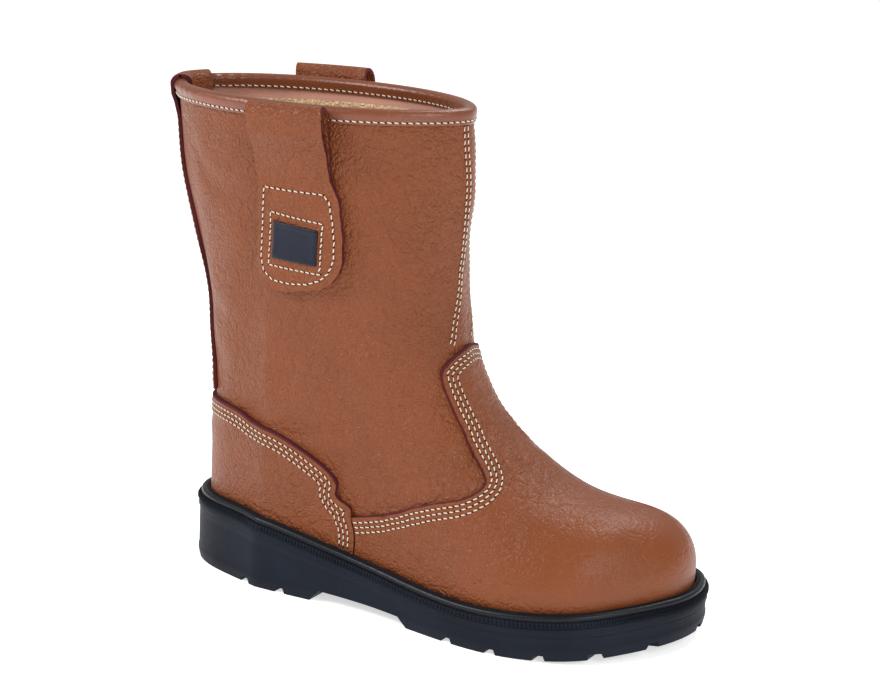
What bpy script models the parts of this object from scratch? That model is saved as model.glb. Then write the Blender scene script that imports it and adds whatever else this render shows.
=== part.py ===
"""A right rigger boot: a pull-on work boot of tan leather with a wide shaft, on a black moulded sole.

Metres, +Z up, +X towards the toe, +Y towards the inner side of the foot. The origin is on the floor
under the heel. upper_points is the form of the last with its leather on, and every leather piece is
cut from it, at a given standoff from its face.
"""

import bmesh
import bpy
import numpy as np

# Sizes of the last
last_length = 0.279
heel_setback = 0.034
ball_width = 0.101
instep_height = 0.127
heel_height = 0.0375
ball_height = 0.020
shaft_height = 0.2635
collar_depth = 0.170
collar_width = 0.094
instep_blend = 0.026
widest_rise = 0.008
undercut_depth = 0.045

# Leather and trim
clearance = 0.0003
upper_wall = 0.0022
vamp_thickness = 0.0019
counter_thickness = 0.0023
strip_thickness = 0.0019
loop_thickness = 0.0019
binding_thickness = 0.0013
binding_leg = 0.0068
bead_bulge = 0.0008
bead_rise = 0.0022
lasting_margin = 0.0052
badge_thickness = 0.0012
insole_thickness = 0.0030
strip_gap = 0.0040

# Sole
sole_overhang = 0.0066
welt_bead = 0.0019
bead_drop = 0.0008
toe_spring = 0.0058
arch_rise = 0.0065
tread_depth = 0.0030
groove_width = 0.0048
groove_flare = 0.0008
groove_spread = 0.178
breast_slope = 0.006

# Pull loops
loop_opening = 0.0080
lateral_loop_rise = 0.0030
medial_loop_rise = 0.0082
medial_loop_turn = 24.5

# The foot's part of the last
# along from the heel (of last_length), outer and inner half width (of ball_width), top (of instep_height)
foot_table = (
    (0.197, 0.314, 0.314, 1.810),
    (0.342, 0.348, 0.324, 1.640),
    (0.466, 0.410, 0.343, 1.345),
    (0.573, 0.476, 0.390, 0.950),
    (0.680, 0.529, 0.448, 0.710),
    (0.765, 0.530, 0.490, 0.590),
    (0.838, 0.495, 0.505, 0.545),
    (0.895, 0.455, 0.545, 0.530),
    (0.950, 0.385, 0.615, 0.515),
    (1.000, 0.360, 0.640, 0.500),
)
# The shaft, from the heel seat to the collar
# height and backward lean (of shaft_height), depth (of collar_depth), width (of collar_width), fullness
shaft_table = (
    (0.113, -0.004, 0.780, 0.717, 2.15),
    (0.226, -0.008, 0.770, 0.783, 2.15),
    (0.358, -0.010, 0.770, 0.848, 2.15),
    (0.490, -0.003, 0.802, 0.891, 2.10),
    (0.623, 0.024, 0.882, 0.913, 2.00),
    (0.774, 0.068, 0.982, 0.946, 1.85),
    (0.925, 0.099, 1.035, 0.978, 1.75),
    (1.080, 0.113, 1.020, 1.000, 1.70),
)
# The feather line, where leather meets sole
# along from the heel (of last_length), height as a share of heel_height and of ball_height
feather_table = (
    (0.000, 1.03, 0.00),
    (0.181, 1.03, 0.00),
    (0.342, 0.55, 0.54),
    (0.518, 0.04, 1.13),
    (0.694, 0.00, 1.09),
    (0.860, 0.00, 1.23),
    (1.000, 0.00, 1.42),
)
# Rings of the upper
# share of the way up, height of the ring at the back and at the front (of shaft_height)
ring_table = (
    (0.00, 0.147, 0.112),
    (0.10, 0.175, 0.195),
    (0.20, 0.208, 0.278),
    (0.32, 0.250, 0.355),
    (0.45, 0.305, 0.445),
    (0.58, 0.440, 0.565),
    (0.70, 0.580, 0.695),
    (0.85, 0.790, 0.850),
    (1.00, 1.000, 1.008),
)
# Half of the vamp and its tongue, from the toe's middle to the counter
# degrees round at the feather line, degrees round and share of the way up at the edge
vamp_table = (
    (0.0, 0.0, 0.557),
    (5.0, 13.5, 0.551),
    (9.0, 22.0, 0.541),
    (12.0, 28.0, 0.528),
    (14.5, 31.0, 0.512),
    (19.0, 31.0, 0.463),
    (23.0, 31.5, 0.405),
    (27.0, 33.5, 0.348),
    (31.0, 36.0, 0.300),
    (36.0, 39.0, 0.273),
    (43.0, 45.0, 0.252),
    (52.0, 52.0, 0.237),
    (62.0, 61.0, 0.222),
    (76.0, 75.0, 0.190),
    (89.0, 87.5, 0.171),
    (100.8, 99.9, 0.138),
)
# Half of the counter, from its front edge to the middle of the back
# degrees round at the feather line, degrees round and share of the way up at the edge
counter_table = (
    (101.1, 100.2, 0.138),
    (114.5, 95.8, 0.185),
    (118.5, 91.0, 0.228),
    (121.5, 90.2, 0.275),
    (125.0, 95.0, 0.340),
    (130.0, 104.0, 0.404),
    (136.0, 115.5, 0.452),
    (142.0, 127.0, 0.477),
    (148.5, 137.5, 0.488),
    (155.0, 146.5, 0.493),
    (161.5, 155.0, 0.496),
    (167.5, 163.5, 0.499),
    (173.5, 171.5, 0.500),
    (180.0, 180.0, 0.501),
)
# The strip down the back seam: share of the way up, half width in degrees round
back_strip_table = (
    (0.507, 32.0),
    (0.605, 27.0),
    (0.700, 22.5),
    (0.805, 17.5),
    (0.905, 13.5),
    (1.000, 12.0),
)
# The outer side's pull loop, down from its fold
# share of the way up, degrees round at its rear and front edge, opening between layers (of loop_opening)
loop_table = (
    (0.700, 93.5, 78.5, 0.0),
    (0.708, 99.5, 74.0, 0.0),
    (0.724, 104.5, 71.0, 0.0),
    (0.745, 106.8, 70.0, 0.0),
    (0.787, 107.4, 70.5, 0.0),
    (0.853, 107.0, 73.5, 0.0),
    (0.885, 106.8, 77.0, 0.0),
    (0.925, 106.6, 77.3, 0.40),
    (0.960, 106.5, 77.5, 0.85),
    (0.990, 106.5, 77.5, 1.00),
)
# The back strip's fold over the collar, as shares of the way from the outer to the inner leather
fold_places = (0.3, 0.8)
# Ends of the binding's bulge, of the strip inside and of the loops' lean, in binding legs below the collar
bulge_end = 0.4
strip_end = 2.4
lean_ends = (3.0, 1.2)
badge_place = (0.750, 0.810, 80.5, 99.5)
badge_slope = 0.009
# Side of the sole: standoff from the leather (of sole_overhang), height from tread to top, lift in metres
side_table = (
    (0.94, 1.0, 0.0000),
    (1.00, 1.0, -0.0006),
    (1.00, 1.0, -0.0030),
    (0.90, 1.0, -0.0037),
    (0.90, 0.0, 0.0068),
    (0.95, 0.0, 0.0060),
    (0.95, 0.0, 0.0040),
    (0.82, 0.0, 0.0000),
)
# Cross-section of the welt: standoff from the leather and height over the feather line, in metres
welt_lip = ((0.0006, -1.0), (0.0006, 0.0010), (0.0010, 0.0013), (0.0014, 0.0004))
welt_rim = ((0.0054, -0.0024), (0.0062, -0.0028), (0.0066, -0.0036), (0.0066, -1.0))
bead_turns = (150, 110, 65, 20, -25)

heel_breast = 0.319
forefoot_start = 0.549
spring_start = 0.700
heel_grooves = (0.164, 0.251)
forefoot_grooves = (0.643, 0.737, 0.830, 0.921)

toe_round = (0.80, 2.0)
toe_drop = (0.87, 2.3)
side_fullness = 2.25
ahead_tolerance = 0.001
shaft_fullness = 2.15
# The straight core that the rings of the upper are measured from, and its shortest reach, in ball widths
ring_core = 0.4
ring_reach = 0.05
# Where the toe's tip lies off the middle, in ball widths
tip_offset = 0.08
upper_turns = 45
upper_rows = 19
sole_turns = 56
panel_rows = 9


def columns(table):
    return [np.array(column, float) for column in zip(*table)]


def curve(places, values, at):
    """A natural cubic spline through a table's column, held level past its ends."""
    count = len(places)
    step = np.diff(places)
    rows = np.eye(count)
    right = np.zeros(count)
    for i in range(1, count - 1):
        rows[i, i - 1 : i + 2] = step[i - 1], 2 * (step[i - 1] + step[i]), step[i]
        right[i] = 6 * ((values[i + 1] - values[i]) / step[i] - (values[i] - values[i - 1]) / step[i - 1])
    bend = np.linalg.solve(rows, right)
    at = np.clip(at, places[0], places[-1])
    i = np.clip(np.searchsorted(places, at) - 1, 0, count - 2)
    after = at - places[i]
    before = places[i + 1] - at
    cubic = (bend[i] * before**3 + bend[i + 1] * after**3) / (6 * step[i])
    low = values[i] / step[i] - bend[i] * step[i] / 6
    high = values[i + 1] / step[i] - bend[i + 1] * step[i] / 6
    return cubic + low * before + high * after


def along(x):
    """Share of the last's length, from the back of the heel."""
    return (x + heel_setback) / last_length


def place(share):
    return share * last_length - heel_setback


def feather_height(x):
    share, heel, ball = columns(feather_table)
    return curve(share, heel * heel_height + ball * ball_height, along(x))


def narrowing(share, start, power):
    """1 before the start, then rounding off to 0 at the tip of the toe."""
    past = np.clip((share - start) / (1 - start), 0, 1)
    return np.maximum(1 - past**power, 1e-6) ** (1 / power)


def foot_form(x, y, z):
    """Below zero inside the foot's part of the last, in metres near its face."""
    share, outer, inner, top = columns(foot_table)
    s = along(x)
    outer_side = curve(share, outer, s) * ball_width
    inner_side = curve(share, inner, s) * ball_width
    middle = (inner_side - outer_side) / 2
    half = (inner_side + outer_side) / 2 * narrowing(s, *toe_round)
    widest = feather_height(x) + widest_rise
    height = (curve(share, top, s) * instep_height - widest) * narrowing(s, *toe_drop)
    above = np.maximum(z - widest, 0) / height
    below = np.maximum(widest - z, 0) / undercut_depth
    form = (np.abs(y - middle) / half) ** side_fullness + above**2 + below**2
    behind = np.maximum(share[0] - s, 0) * last_length
    ahead = np.maximum(s - 1, 0) * last_length / ahead_tolerance
    return (np.sqrt(form) - 1) * np.minimum(half, undercut_depth) + behind + ahead


def shaft_form(x, y, z):
    """Below zero inside the shaft and the heel."""
    share, lean, depth, width, fullness = columns(shaft_table)
    s = z / shaft_height
    back = -heel_setback - curve(share, lean, s) * shaft_height
    deep = curve(share, depth, s) * collar_depth / 2
    half = curve(share, width, s) * collar_width / 2
    side = curve(share, fullness, s)
    form = (np.abs(x - back - deep) / deep) ** shaft_fullness + (np.abs(y) / half) ** side
    return (np.sqrt(form) - 1) * half


def boot_form(x, y, z):
    """Foot and shaft joined with a soft fillet at the instep."""
    foot = foot_form(x, y, z)
    shaft = shaft_form(x, y, z)
    mix = np.clip(0.5 + 0.5 * (shaft - foot) / instep_blend, 0, 1)
    return shaft + (foot - shaft) * mix - instep_blend * mix * (1 - mix)


def front_of(z):
    """Where the middle of the boot's front is at each height, found from the toe backwards."""
    tries = np.linspace(0.17, 1.01, 400) * last_length
    heights, index = np.unique(z, return_inverse=True)
    big_toe = np.where(tries > 0.5 * last_length, tip_offset * ball_width, 0)
    inside = boot_form(tries, big_toe, heights[:, None]) < 0
    last = tries.size - 1 - np.argmax(inside[:, ::-1], axis=1)
    return tries[last][index].reshape(z.shape)


def ring_lines(up):
    """Of each ring: height at the back, x at the front, slope, and how far it bends to the feather line."""
    share, back_share, front_share = columns(ring_table)
    back_z = np.interp(up, share, back_share) * shaft_height
    front_z = np.interp(up, share, front_share) * shaft_height
    front_x = front_of(front_z)
    return back_z, front_x, (front_z - back_z) / (front_x + heel_setback), (1 - up) ** 3


def ring_point(turn, ring, far):
    """A point at a distance from the middle line of a ring of the upper, at the ring's height there."""
    back_z, front_x, slope, bend = ring
    reach = np.maximum((front_x + heel_setback) / 2 - ring_core * ball_width, ring_reach * ball_width)
    x = (front_x - heel_setback) / 2 + (reach + far) * np.cos(turn)
    lowest = (ring_table[0][1] + (ring_table[0][2] - ring_table[0][1]) * along(x)) * shaft_height
    height = back_z + slope * (x + heel_setback) + bend * (feather_height(x) - lowest)
    return x, far * np.sin(turn), height


def face_points(turn, up):
    """Points of the upper's outer face: turn in radians from the toe, up the share from sole to collar."""
    ring = ring_lines(up)
    low = np.zeros(turn.shape)
    high = np.full(turn.shape, 1.5 * ball_width)
    for _ in range(22):
        far = (low + high) / 2
        outside = boot_form(*ring_point(turn, ring, far)) > 0
        high = np.where(outside, far, high)
        low = np.where(outside, low, far)
    return np.stack(ring_point(turn, ring, (low + high) / 2), -1)


def unit(vectors):
    return vectors / np.linalg.norm(vectors, axis=-1, keepdims=True)


def frame_at(degrees, up):
    """Point, outward normal and upward direction of the upper's face."""
    degrees, up = np.broadcast_arrays(np.asarray(degrees, float), np.asarray(up, float))
    turn = np.radians(degrees)
    step = 0.01
    inside = np.clip(up, step, 1 - step)
    sideways = face_points(turn + step, up) - face_points(turn - step, up)
    upward = face_points(turn, inside + step) - face_points(turn, inside - step)
    return face_points(turn, up), unit(np.cross(sideways, upward)), unit(upward)


def upper_points(degrees, up, standoff=0.0):
    """The upper's face at a standoff. Past 1, up goes on straight from the collar by shares of the shaft."""
    degrees, up = np.broadcast_arrays(np.asarray(degrees, float), np.asarray(up, float))
    point, normal, upward = frame_at(degrees, np.minimum(up, 1.0))
    beyond = np.maximum(up - 1, 0)[..., None] * shaft_height
    return point + normal * standoff + upward * beyond


def with_skirt(points):
    """Adds a lowest row that goes down beside the sole by the lasting margin."""
    low = points[0].copy()
    low[:, 2] = feather_height(low[:, 0]) - lasting_margin
    return np.concatenate([low[None], points])


def outline_points(degrees, standoff, height):
    """Points round the sole, at a level standoff from the leather and a height over the feather line."""
    turn = np.radians(degrees)
    up = np.zeros_like(turn)
    step = 0.02
    edge = face_points(turn, up)
    tangent = face_points(turn + step, up) - face_points(turn - step, up)
    normal = unit(np.stack([tangent[:, 1], -tangent[:, 0], up], -1))
    points = edge + normal * standoff
    points[:, 2] = feather_height(points[:, 0]) + height
    return points


def tread_height(x):
    """The bottom of the forepart, which springs up at the toe."""
    past = np.maximum(along(x) - spring_start, 0) / (1 - spring_start)
    return toe_spring * past**2


def make_material(name, color, roughness):
    material = bpy.data.materials.new(name)
    material.use_nodes = True
    shader = material.node_tree.nodes["Principled BSDF"]
    shader.inputs["Base Color"].default_value = (*color, 1.0)
    shader.inputs["Roughness"].default_value = roughness
    shader.inputs["Metallic"].default_value = 0.0
    material.diffuse_color = (*color, 1.0)
    return material


def make_object(name, points, faces, material):
    """An object from points and faces, with its faces turned outwards."""
    mesh = bpy.data.meshes.new(name)
    mesh.from_pydata([tuple(point) for point in np.asarray(points, float)], [], faces)
    body = bmesh.new()
    body.from_mesh(mesh)
    bmesh.ops.recalc_face_normals(body, faces=body.faces)
    if body.calc_volume(signed=True) < 0:
        bmesh.ops.reverse_faces(body, faces=body.faces)
    body.to_mesh(mesh)
    body.free()
    mesh.shade_smooth()
    mesh.set_sharp_from_angle(angle=np.radians(40))
    mesh.materials.append(material)
    part = bpy.data.objects.new(name, mesh)
    bpy.context.scene.collection.objects.link(part)
    return part


def strip_faces(first, second):
    """Quads between two rows of point numbers."""
    pairs = zip(first[:-1], first[1:], second[1:], second[:-1])
    return [tuple(pair) for pair in pairs]


def make_shell(name, outer, inner, material, ring=False):
    """A sheet with thickness, from the grids of its two faces. A ring closes on itself."""
    rows, turns = outer.shape[:2]
    outer_at = np.arange(rows * turns).reshape(rows, turns)
    if ring:
        outer_at = np.column_stack([outer_at, outer_at[:, 0]])
    inner_at = outer_at + rows * turns
    faces = []
    for grid in (outer_at, inner_at):
        for low, high in zip(grid[:-1], grid[1:]):
            for a, b, c, d in strip_faces(low, high):
                faces += [(a, b, c), (a, c, d)]
    edges = [(outer_at[0], inner_at[0]), (outer_at[-1], inner_at[-1])]
    if not ring:
        edges += [(outer_at[:, 0], inner_at[:, 0]), (outer_at[:, -1], inner_at[:, -1])]
    for first, second in edges:
        faces += strip_faces(first, second)
    points = np.concatenate([outer.reshape(-1, 3), inner.reshape(-1, 3)])
    return make_object(name, points, faces, material)


def make_plate(name, rings, material):
    """A solid from level rings, lowest first, closed by strips from the outer to the inner side."""
    count = rings.shape[1]
    at = np.arange(rings.shape[0] * count).reshape(-1, count)
    at = np.column_stack([at, at[:, 0]])
    faces = []
    for low, high in zip(at[:-1], at[1:]):
        faces += strip_faces(low, high)
    half = count // 2
    for ring in (at[0], at[-1]):
        faces += strip_faces(ring[: half + 1], ring[: half - 1 : -1])
    return make_object(name, rings.reshape(-1, 3), faces, material)


def make_band(name, sections, material, ring=False):
    """A band through closed cross-sections, whose ends pair the first points with the last."""
    count, size = sections.shape[:2]
    at = np.arange(count * size).reshape(count, size)
    at = np.column_stack([at, at[:, 0]])
    faces = []
    for first, second in zip(at[:-1], at[1:]):
        faces += strip_faces(first, second)
    if ring:
        faces += strip_faces(at[-1], at[0])
    else:
        for end in (at[0, :-1], at[-1, :-1]):
            faces += strip_faces(end[: size // 2], end[: size // 2 - 1 : -1])
    return make_object(name, sections.reshape(-1, 3), faces, material)


def cut(part, cutter, operation="DIFFERENCE"):
    cutter.hide_render = True
    cutter.display_type = "WIRE"
    modifier = part.modifiers.new(cutter.name, "BOOLEAN")
    modifier.operation = operation
    modifier.object = cutter
    modifier.solver = "EXACT"


def turns_of(count):
    return np.linspace(0, 360, count, endpoint=False)


def upper_levels():
    """Shares up of the upper's rows, closer together low down."""
    return np.linspace(0, 1, upper_rows) ** 1.25


def make_upper(leather):
    degrees, up = np.meshgrid(turns_of(upper_turns), upper_levels())
    outer = with_skirt(upper_points(degrees, up))
    inner = with_skirt(upper_points(degrees, up, -upper_wall))
    return make_shell("upper", outer, inner, leather, ring=True)


def panel_grid(table):
    """Degrees round and shares up of a panel, in rows from the feather line to the table's edge."""
    foot, edge, top = columns(table)
    share = np.linspace(0, 1, panel_rows)[:, None]
    return foot + (edge - foot) * share, top * share


def mirrored(table, back_to_front):
    """A half table and its mirror as one run of columns round the boot."""
    other = [(-foot, -edge, top) for foot, edge, top in table]
    if back_to_front:
        other = [(360 + foot, 360 + edge, top) for foot, edge, top in other]
        return list(table) + other[-2::-1]
    return other[:0:-1] + list(table)


def make_panel(name, table, thickness, material):
    """A piece of an outer skin of the upper, cut out along the table's edge."""
    degrees, up = panel_grid(table)
    step = 360 / upper_turns
    first = np.floor(degrees.min() / step) - 1
    last = np.ceil(degrees.max() / step) + 1
    levels = upper_levels()
    levels = levels[: np.searchsorted(levels, up.max()) + 2]
    skin_degrees, skin_up = np.meshgrid(np.arange(first, last + 1) * step, levels)
    outer = with_skirt(upper_points(skin_degrees, skin_up, clearance + thickness))
    inner = with_skirt(upper_points(skin_degrees, skin_up, clearance))
    panel = make_shell(name, outer, inner, material)
    reach = 3 * thickness
    faces = [upper_points(degrees, up, standoff) for standoff in (clearance + reach, clearance - reach)]
    low = np.array([0, 0, 3 * lasting_margin])
    faces = [np.concatenate([face[:1] - low, face]) for face in faces]
    cutter = make_shell(name + "_cutter", *faces, material)
    cut(panel, cutter, "INTERSECT")
    return panel


def make_vamp(leather):
    return make_panel("vamp", mirrored(vamp_table, False), vamp_thickness, leather)


def make_counter(leather):
    return make_panel("counter", mirrored(counter_table, True), counter_thickness, leather)


def make_binding(leather):
    """The rolled edge over the collar, with a leg down each side."""
    out = clearance
    back = -upper_wall - clearance
    low = -binding_leg
    thick = binding_thickness
    bulge = thick + bead_bulge
    profile = (
        (out, low),
        (out + thick, low),
        (out + bulge, -bulge_end * binding_leg),
        (out + bulge, 0.0),
        (out, bead_rise + clearance),
        (back, bead_rise + clearance),
        (back - bulge, 0.0),
        (back - bulge, -bulge_end * binding_leg),
        (back - thick, low),
        (back, low),
        (back, clearance),
        (out, clearance),
    )
    point, normal, upward = frame_at(turns_of(upper_turns), 1.0)
    sections = [point + normal * off + upward * rise for off, rise in profile]
    return make_band("collar_binding", np.stack(sections, 1), leather, ring=True)


def make_back_strip(leather):
    """The strip down the back seam, folded over the collar and ended inside."""
    up, half = columns(back_strip_table)
    levels = np.linspace(up[0], 1 - (binding_leg + strip_gap) / shaft_height, 11)
    over = 3 * clearance + binding_thickness + bead_bulge
    under = -upper_wall - over
    top = 1 + (bead_rise + 3 * clearance) / shaft_height
    inner_end = 1 - strip_end * binding_leg / shaft_height
    leg_end = 1 - (binding_leg + clearance) / shaft_height
    thick = strip_thickness
    near = [(clearance, level) for level in levels]
    first, second = over * fold_places[0], under * fold_places[1]
    near += [(over, leg_end), (over, 1.0), (first, top), (second, top)]
    near += [(under, 1.0), (under, leg_end), (under, inner_end)]
    lift = thick / shaft_height
    far = [(clearance + thick, level) for level in levels]
    far += [(over + thick, leg_end), (over + thick, 1.0), (first + 0.4 * thick, top + lift)]
    far += [(second - 0.4 * thick, top + lift), (under - thick, 1.0)]
    far += [(under - thick, leg_end), (under - thick, inner_end)]
    section = near + far[::-1]
    sections = []
    for share in np.linspace(-1, 1, 9):
        levels_here = np.array([level for _, level in section])
        degrees = 180 + share * np.interp(levels_here, up, half)
        offs = np.array([off for off, _ in section])
        point, normal, upward = frame_at(degrees, np.minimum(levels_here, 1.0))
        beyond = np.maximum(levels_here - 1, 0) * shaft_height
        sections.append(point + normal * offs[:, None] + upward * beyond[:, None])
    return make_band("back_strip", np.stack(sections), leather)


def make_pull_loop(name, side, turn, rise, material):
    """A strap folded at its top: two layers flat against the shaft below, and open as a loop above."""
    up, rear, front, opening = columns(loop_table)
    fold = 1 + rise / shaft_height
    rest = 2 * clearance + binding_thickness + bead_bulge
    lean_up = [1 - legs * binding_leg / shaft_height for legs in lean_ends]
    lean = np.interp(up, lean_up, [1.5 * clearance, rest])
    wide = opening * loop_opening
    thick = loop_thickness
    rows = len(up)
    first_open = int(np.nonzero(opening == 0)[0][-1])
    # Columns of the cross-section: standoff and level of the back layer, the fold and the front layer
    top_off = rest + thick + wide[-1] / 2
    radius = thick + wide[-1] / 2
    bend = np.radians([180, 150, 120, 90, 60, 30, 0])
    middle = fold - radius / shaft_height
    fold_off = top_off + radius * np.cos(bend)
    fold_up = middle + radius * np.sin(bend) / shaft_height
    hole_off = top_off + wide[-1] / 2 * np.cos(bend)
    hole_up = middle + wide[-1] / 2 * np.sin(bend) / shaft_height
    outline = [(lean[i], up[i], i) for i in range(rows)]
    outline += [(off, level, rows - 1) for off, level in zip(fold_off, fold_up)]
    outline += [(lean[i] + 2 * thick + wide[i], up[i], i) for i in range(rows - 1, -1, -1)]
    hole = [(lean[i] + thick, up[i], i) for i in range(first_open + 1, rows)]
    hole += [(off, level, rows - 1) for off, level in zip(hole_off, hole_up)]
    hole += [(lean[i] + thick + wide[i], up[i], i) for i in range(rows - 1, first_open, -1)]
    hole.append((lean[first_open] + thick, up[first_open], first_open))
    spans = 7
    grids = []
    for path in (outline, hole):
        offs = np.array([item[0] for item in path])[:, None]
        levels = np.array([item[1] for item in path])[:, None]
        index = [item[2] for item in path]
        share = np.linspace(0, 1, spans + 1)
        degrees = rear[index][:, None] + (front - rear)[index][:, None] * share + turn
        levels = np.broadcast_to(levels, degrees.shape)
        point, normal, upward = frame_at(side * degrees, np.minimum(levels, 1.0))
        beyond = np.maximum(levels - 1, 0)[..., None] * shaft_height
        grids.append(point + normal * offs[..., None] + upward * beyond)
    count = len(outline)
    at = np.arange(count * (spans + 1)).reshape(count, spans + 1)
    hole_at = np.arange(len(hole) * (spans + 1)).reshape(len(hole), spans + 1) + at.size
    faces = []
    for grid in (at, hole_at):
        closed = np.concatenate([grid, grid[:1]])
        for first, second in zip(closed[:-1], closed[1:]):
            faces += strip_faces(first, second)
    for end in (0, spans):
        edge = at[:, end]
        inner = hole_at[:, end]
        low = first_open + 1
        faces += strip_faces(edge[:low], edge[: count - low - 1 : -1])
        ring = edge[low - 1 : count - low + 1]
        bottom = inner[-1]
        around = [bottom, *inner[:-1], bottom]
        faces += [(ring[0], ring[1], around[1], bottom), (ring[-1], ring[-2], around[-2], bottom)]
        faces += strip_faces(list(ring[1:-1]), around[1:-1])
        faces.append((ring[0], ring[-1], bottom))
    points = np.concatenate([grids[0].reshape(-1, 3), grids[1].reshape(-1, 3)])
    return make_object(name, points, faces, material)


def make_badge(material):
    """A plain rubber patch on the outer pull loop."""
    low, high, front, rear = badge_place
    degrees, up = np.meshgrid(np.linspace(-rear, -front, 5), np.linspace(low, high, 4))
    up = up + badge_slope * np.linspace(1, -1, 5)
    under = 2.5 * clearance + 2 * loop_thickness
    outer = upper_points(degrees, up, under + badge_thickness)
    inner = upper_points(degrees, up, under)
    return make_shell("badge", outer, inner, material)


def make_welt(rubber):
    """The bead round the leather, and the stepped rim outside it."""
    leather = clearance + counter_thickness
    bottom = clearance - lasting_margin
    middle = welt_lip[-1][0] + welt_bead
    turns = np.radians(bead_turns)
    bead = list(zip(middle + welt_bead * np.cos(turns), welt_bead * np.sin(turns) - bead_drop))
    profile = [*welt_lip, *bead, *welt_rim]
    degrees = turns_of(sole_turns)
    rings = [outline_points(degrees, leather + off, max(rise, bottom - clearance)) for off, rise in profile]
    return make_band("welt", np.stack(rings, 1), rubber, ring=True)


def make_insole(board):
    degrees = turns_of(sole_turns)
    standoff = -upper_wall - 6 * clearance
    low = outline_points(degrees, standoff, -lasting_margin)
    high = outline_points(degrees, standoff, insole_thickness - lasting_margin)
    return make_plate("insole", np.stack([low, high]), board)


def bars(name, sections, material):
    """Cutters joined in one mesh, each through a row of four-sided sections."""
    points = []
    faces = []
    for rows in sections:
        start = len(points)
        points += [corner for row in rows for corner in row]
        at = np.arange(start, start + 4 * len(rows)).reshape(-1, 4)
        closed = np.column_stack([at, at[:, 0]])
        for first, second in zip(closed[:-1], closed[1:]):
            faces += strip_faces(first, second)
        faces += [tuple(at[0]), tuple(at[-1])]
    return make_object(name, points, faces, material)


def groove_section(middle, top):
    """Four corners of a groove across its length: position and height."""
    low = -tread_depth
    narrow = groove_width / 2
    wide = narrow + groove_flare * (top - low) / tread_depth
    return ((middle - wide, low), (middle + wide, low), (middle + narrow, top), (middle - narrow, top))


def make_outsole(rubber):
    """The moulded sole: stepped side, heel, arch and toe spring, with its lugs cut by grooves."""
    degrees = turns_of(sole_turns)
    leather = clearance + counter_thickness
    rings = []
    for share, height, lift in side_table[::-1]:
        ring = outline_points(degrees, leather + share * sole_overhang, -lasting_margin - clearance)
        ring[:, 2] = height * ring[:, 2] + (1 - height) * tread_height(ring[:, 0]) + lift
        rings.append(ring)
    sole = make_plate("outsole", np.stack(rings), rubber)
    reach = ball_width
    breast = place(heel_breast)
    forefoot = place(forefoot_start)
    arch = (
        (breast, 0.0),
        (forefoot, 0.0),
        (forefoot - breast_slope, 0.8 * arch_rise),
        (breast + breast_slope, arch_rise),
    )
    below = (
        (breast - breast_slope, -arch_rise),
        (forefoot + breast_slope, -arch_rise),
    )
    arch_shape = (*below, arch[2], arch[3])
    sides = [[(x, y, z) for x, z in arch_shape] for y in (-reach, reach)]
    cut(sole, bars("arch_cutter", [sides], rubber))
    across = []
    for share in heel_grooves + forefoot_grooves:
        x = place(share)
        corners = groove_section(x, tread_height(x) + tread_depth)
        across.append([[(px, y, pz) for px, pz in corners] for y in (-reach, reach)])
    cut(sole, bars("cross_groove_cutter", across, rubber))
    lengthways = []
    for side in (-1, 1):
        rows = []
        for x in place(np.linspace(-0.1, 1.1, 13)):
            corners = groove_section(side * groove_spread * ball_width, tread_height(x) + tread_depth)
            rows.append([(x, py, pz) for py, pz in corners])
        lengthways.append(rows)
    cut(sole, bars("long_groove_cutter", lengthways, rubber))
    return sole


def main():
    for item in list(bpy.data.objects):
        bpy.data.objects.remove(item, do_unlink=True)
    leather = make_material("tan_leather", (0.42, 0.16, 0.065), 0.45)
    binding = make_material("binding_leather", (0.34, 0.12, 0.05), 0.3)
    rubber = make_material("sole_rubber", (0.02, 0.025, 0.033), 0.5)
    board = make_material("insole_board", (0.45, 0.33, 0.2), 0.9)
    badge = make_material("badge_rubber", (0.012, 0.016, 0.03), 0.4)
    make_outsole(rubber)
    make_welt(rubber)
    make_insole(board)
    make_upper(leather)
    make_vamp(leather)
    make_counter(leather)
    make_binding(binding)
    make_back_strip(leather)
    make_pull_loop("pull_loop_lateral", -1, 0.0, lateral_loop_rise, leather)
    make_pull_loop("pull_loop_medial", 1, medial_loop_turn, medial_loop_rise, leather)
    make_badge(badge)


main()
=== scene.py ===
"""The look of the rigger boot: its skins, edges, seams and finish over the CAD model, and its camera."""

import bmesh
import bpy
import numpy as np
from mathutils import Matrix, Vector


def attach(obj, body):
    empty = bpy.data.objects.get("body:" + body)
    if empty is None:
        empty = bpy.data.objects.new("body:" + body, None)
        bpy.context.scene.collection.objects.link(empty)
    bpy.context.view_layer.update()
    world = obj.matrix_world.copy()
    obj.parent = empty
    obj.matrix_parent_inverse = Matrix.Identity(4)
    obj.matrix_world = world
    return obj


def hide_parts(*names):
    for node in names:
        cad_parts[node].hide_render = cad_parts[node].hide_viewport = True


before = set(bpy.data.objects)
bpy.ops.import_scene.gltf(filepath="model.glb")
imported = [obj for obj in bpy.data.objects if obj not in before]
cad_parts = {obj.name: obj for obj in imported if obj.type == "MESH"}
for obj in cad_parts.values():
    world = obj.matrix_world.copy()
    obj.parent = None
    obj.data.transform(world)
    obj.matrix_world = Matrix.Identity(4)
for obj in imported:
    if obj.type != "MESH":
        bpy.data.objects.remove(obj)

# Sizes of the last
last_length = 0.279
heel_setback = 0.034
ball_width = 0.101
instep_height = 0.127
heel_height = 0.0375
ball_height = 0.020
shaft_height = 0.2635
collar_depth = 0.170
collar_width = 0.094
instep_blend = 0.026
widest_rise = 0.008
undercut_depth = 0.045

# Leather and trim
clearance = 0.0003
upper_wall = 0.0022
vamp_thickness = 0.0019
counter_thickness = 0.0023
strip_thickness = 0.0019
loop_thickness = 0.0019
binding_thickness = 0.0013
binding_leg = 0.0068
bead_bulge = 0.0008
bead_rise = 0.0022
lasting_margin = 0.0052
badge_thickness = 0.0012

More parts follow.
